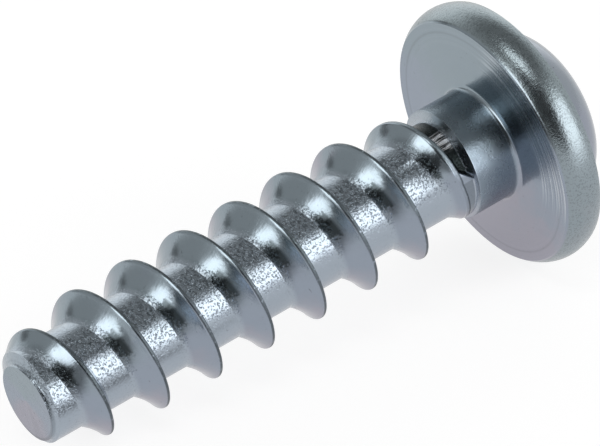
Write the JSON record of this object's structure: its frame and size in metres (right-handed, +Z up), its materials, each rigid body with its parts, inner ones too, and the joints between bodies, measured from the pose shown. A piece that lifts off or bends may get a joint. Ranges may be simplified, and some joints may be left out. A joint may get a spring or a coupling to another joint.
{
  "type": "flanged pan-head thread-forming screw",
  "caption": "Zinc-plated flanged pan-head screw with a coarse right-hand thread, a short plain shank and a blunt tip.",
  "frame": {"origin": "centre of the bounding box at the surface the screw lies on", "axes": "+Z up, +X from the tip towards the head along the length of the screw, +Y across it"},
  "size_m": [0.0236, 0.01, 0.0099],
  "materials": {
    "zinc_plate": "bright blue-passivated zinc"
  },
  "bodies": {
    "root": {"screw": "zinc_plate"}
  },
  "joints": []
}
